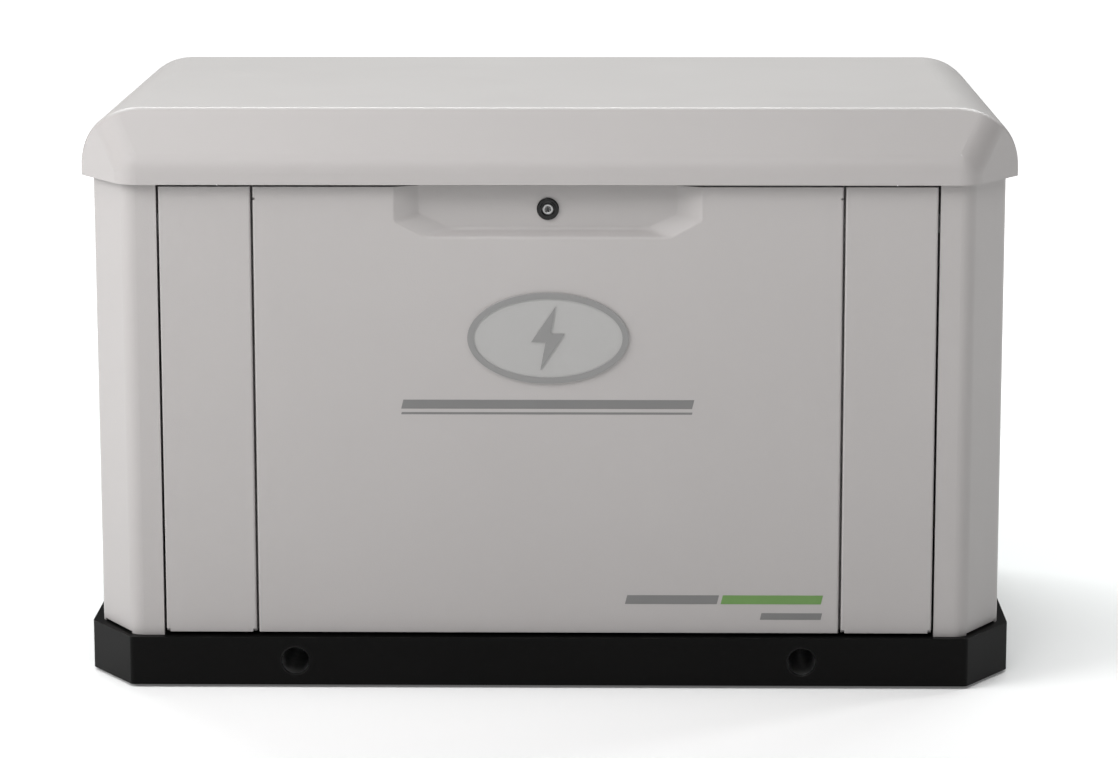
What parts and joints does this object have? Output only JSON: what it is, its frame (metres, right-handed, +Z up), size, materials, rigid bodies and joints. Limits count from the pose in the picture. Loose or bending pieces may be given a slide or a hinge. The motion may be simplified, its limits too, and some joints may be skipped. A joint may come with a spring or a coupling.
{
  "type": "home standby generator",
  "caption": "Fixed home standby generator: grey steel cabinet on a black base pan, hinged roof with gas struts, lift-off front panel with finger recess and lock, engine and alternator inside.",
  "frame": {"origin": "centre of the bounding box's underside, on the surface that the base pads stand on", "axes": "+X to the right as seen from the front, along the longest side; +Y to the back; +Z up"},
  "size_m": [1.232, 0.772, 0.764],
  "materials": {
    "cabinet_paint": "fine textured powder coat, warm light grey",
    "base_paint": "satin black powder coat",
    "zinc_steel": "zinc plated, dull",
    "rubber": "matt black",
    "lining_foam": "charcoal acoustic foam",
    "strut_black": "gloss black",
    "bright_steel": "ground and polished",
    "cast_aluminium": "sand cast",
    "cover_black": "satin black",
    "filter_white": "gloss white enamel",
    "filter_paper": "pleated",
    "winding_steel": "varnished laminations",
    "moulded_black": "moulded",
    "breaker_black": "moulded",
    "exhaust_steel": "heat-tinted aluminised steel",
    "button_grey": "soft touch",
    "button_green": "soft touch",
    "handle_yellow": "moulded",
    "lock_black": "black bezel",
    "chrome": "polished",
    "badge_grey": "satin mid grey"
  },
  "bodies": {
    "cabinet": {"corner_posts_front": "cabinet_paint", "corner_posts_rear": "cabinet_paint", "filler_panels": "cabinet_paint", "side_panel_left": "cabinet_paint", "side_panel_right": "cabinet_paint", "rear_panel": "cabinet_paint", "base_pan": "base_paint", "floor_brackets": "base_paint", "engine_rails": "base_paint", "battery_tray": "base_paint", "lifting_tubes": "zinc_steel", "top_frame": "zinc_steel", "partition": "zinc_steel", "strut_anchors": "zinc_steel", "hinge_leaves_cabinet": "zinc_steel", "panel_screws": "zinc_steel", "base_feet": "rubber", "vibration_mounts": "rubber", "lid_seal": "rubber", "fuel_hose": "rubber", "battery_cables": "rubber", "crankcase": "cast_aluminium", "cylinder_barrels": "cast_aluminium", "cylinder_heads": "cast_aluminium", "intake_manifold": "cast_aluminium", "alternator_adapter": "cast_aluminium", "alternator_end_bell": "cast_aluminium", "fuel_regulator": "cast_aluminium", "valve_covers": "cover_black", "blower_housing": "cover_black", "air_cleaner_base": "cover_black", "air_cleaner_cover": "cover_black", "starter_motor": "cover_black", "oil_filter": "filter_white", "air_filter": "filter_paper", "stator": "winding_steel", "control_box": "moulded_black", "battery": "moulded_black", "spark_plugs": "moulded_black", "circuit_breaker": "breaker_black", "exhaust_pipes": "exhaust_steel", "muffler": "exhaust_steel"},
    "lid": {"lid": "cabinet_paint", "lid_lining": "lining_foam", "hinge_leaves_lid": "zinc_steel", "lid_brackets": "zinc_steel"},
    "strut_cylinders": {"strut_cylinders": "strut_black"},
    "strut_rods": {"strut_rods": "bright_steel"},
    "front_panel": {"front_panel": "cabinet_paint", "lock_housing": "lock_black", "badge": "badge_grey"},
    "lock_plug": {"lock_plug": "chrome"},
    "crankshaft": {"crankshaft": "bright_steel", "flywheel_fan": "cast_aluminium", "alternator_rotor": "winding_steel"},
    "dipstick": {"dipstick": "handle_yellow"},
    "breaker_lever": {"breaker_lever": "breaker_black"},
    "button_off": {"button_off": "button_grey"},
    "button_manual": {"button_manual": "button_grey"},
    "button_auto": {"button_auto": "button_green"}
  },
  "joints": [
    {"name": "lid_hinge", "type": "hinge", "parent": "cabinet", "child": "lid", "pos_m": [0, 0.375, 0.674], "axis": [-1, 0, 0], "range_deg": [0, 75]},
    {"name": "strut_swing", "type": "hinge", "parent": "cabinet", "child": "strut_cylinders", "pos_m": [0, 0.3, 0.53], "axis": [-1, 0, 0], "range_deg": [0, 36.71]},
    {"name": "strut_extend", "type": "slide", "parent": "strut_cylinders", "child": "strut_rods", "axis": [0, -0.3775, 0.926], "range_m": [0, 0.1103]},
    {"name": "front_panel_off", "type": "slide", "parent": "cabinet", "child": "front_panel", "axis": [0, -1, 0], "range_m": [0, 0.3]},
    {"name": "lock_turn", "type": "hinge", "parent": "front_panel", "child": "lock_plug", "pos_m": [0, -0.36, 0.6356], "axis": [0, 1, 0], "range_deg": [0, 90]},
    {"name": "crankshaft_spin", "type": "hinge", "parent": "cabinet", "child": "crankshaft", "pos_m": [0, 0.02, 0.235], "axis": [1, 0, 0], "continuous": true},
    {"name": "dipstick_pull", "type": "slide", "parent": "cabinet", "child": "dipstick", "axis": [0, -0.6428, 0.766], "range_m": [0, 0.155]},
    {"name": "breaker_switch", "type": "hinge", "parent": "cabinet", "child": "breaker_lever", "pos_m": [0, -0.313, 0.55], "axis": [1, 0, 0], "range_deg": [0, 50]},
    {"name": "button_off_press", "type": "slide", "parent": "cabinet", "child": "button_off", "axis": [0, 1, 0], "range_m": [0, 0.0015], "stiffness_N_per_m": 400, "springref_m": -0.001},
    {"name": "button_manual_press", "type": "slide", "parent": "cabinet", "child": "button_manual", "axis": [0, 1, 0], "range_m": [0, 0.0015], "stiffness_N_per_m": 400, "springref_m": -0.001},
    {"name": "button_auto_press", "type": "slide", "parent": "cabinet", "child": "button_auto", "axis": [0, 1, 0], "range_m": [0, 0.0015], "stiffness_N_per_m": 400, "springref_m": -0.001}
  ],
  "couplings": [
    {"joint": "strut_swing", "follows": "lid_hinge", "ratio": 0.48284},
    {"joint": "strut_extend", "follows": "lid_hinge", "m_per_rad": 0.083846}
  ]
}
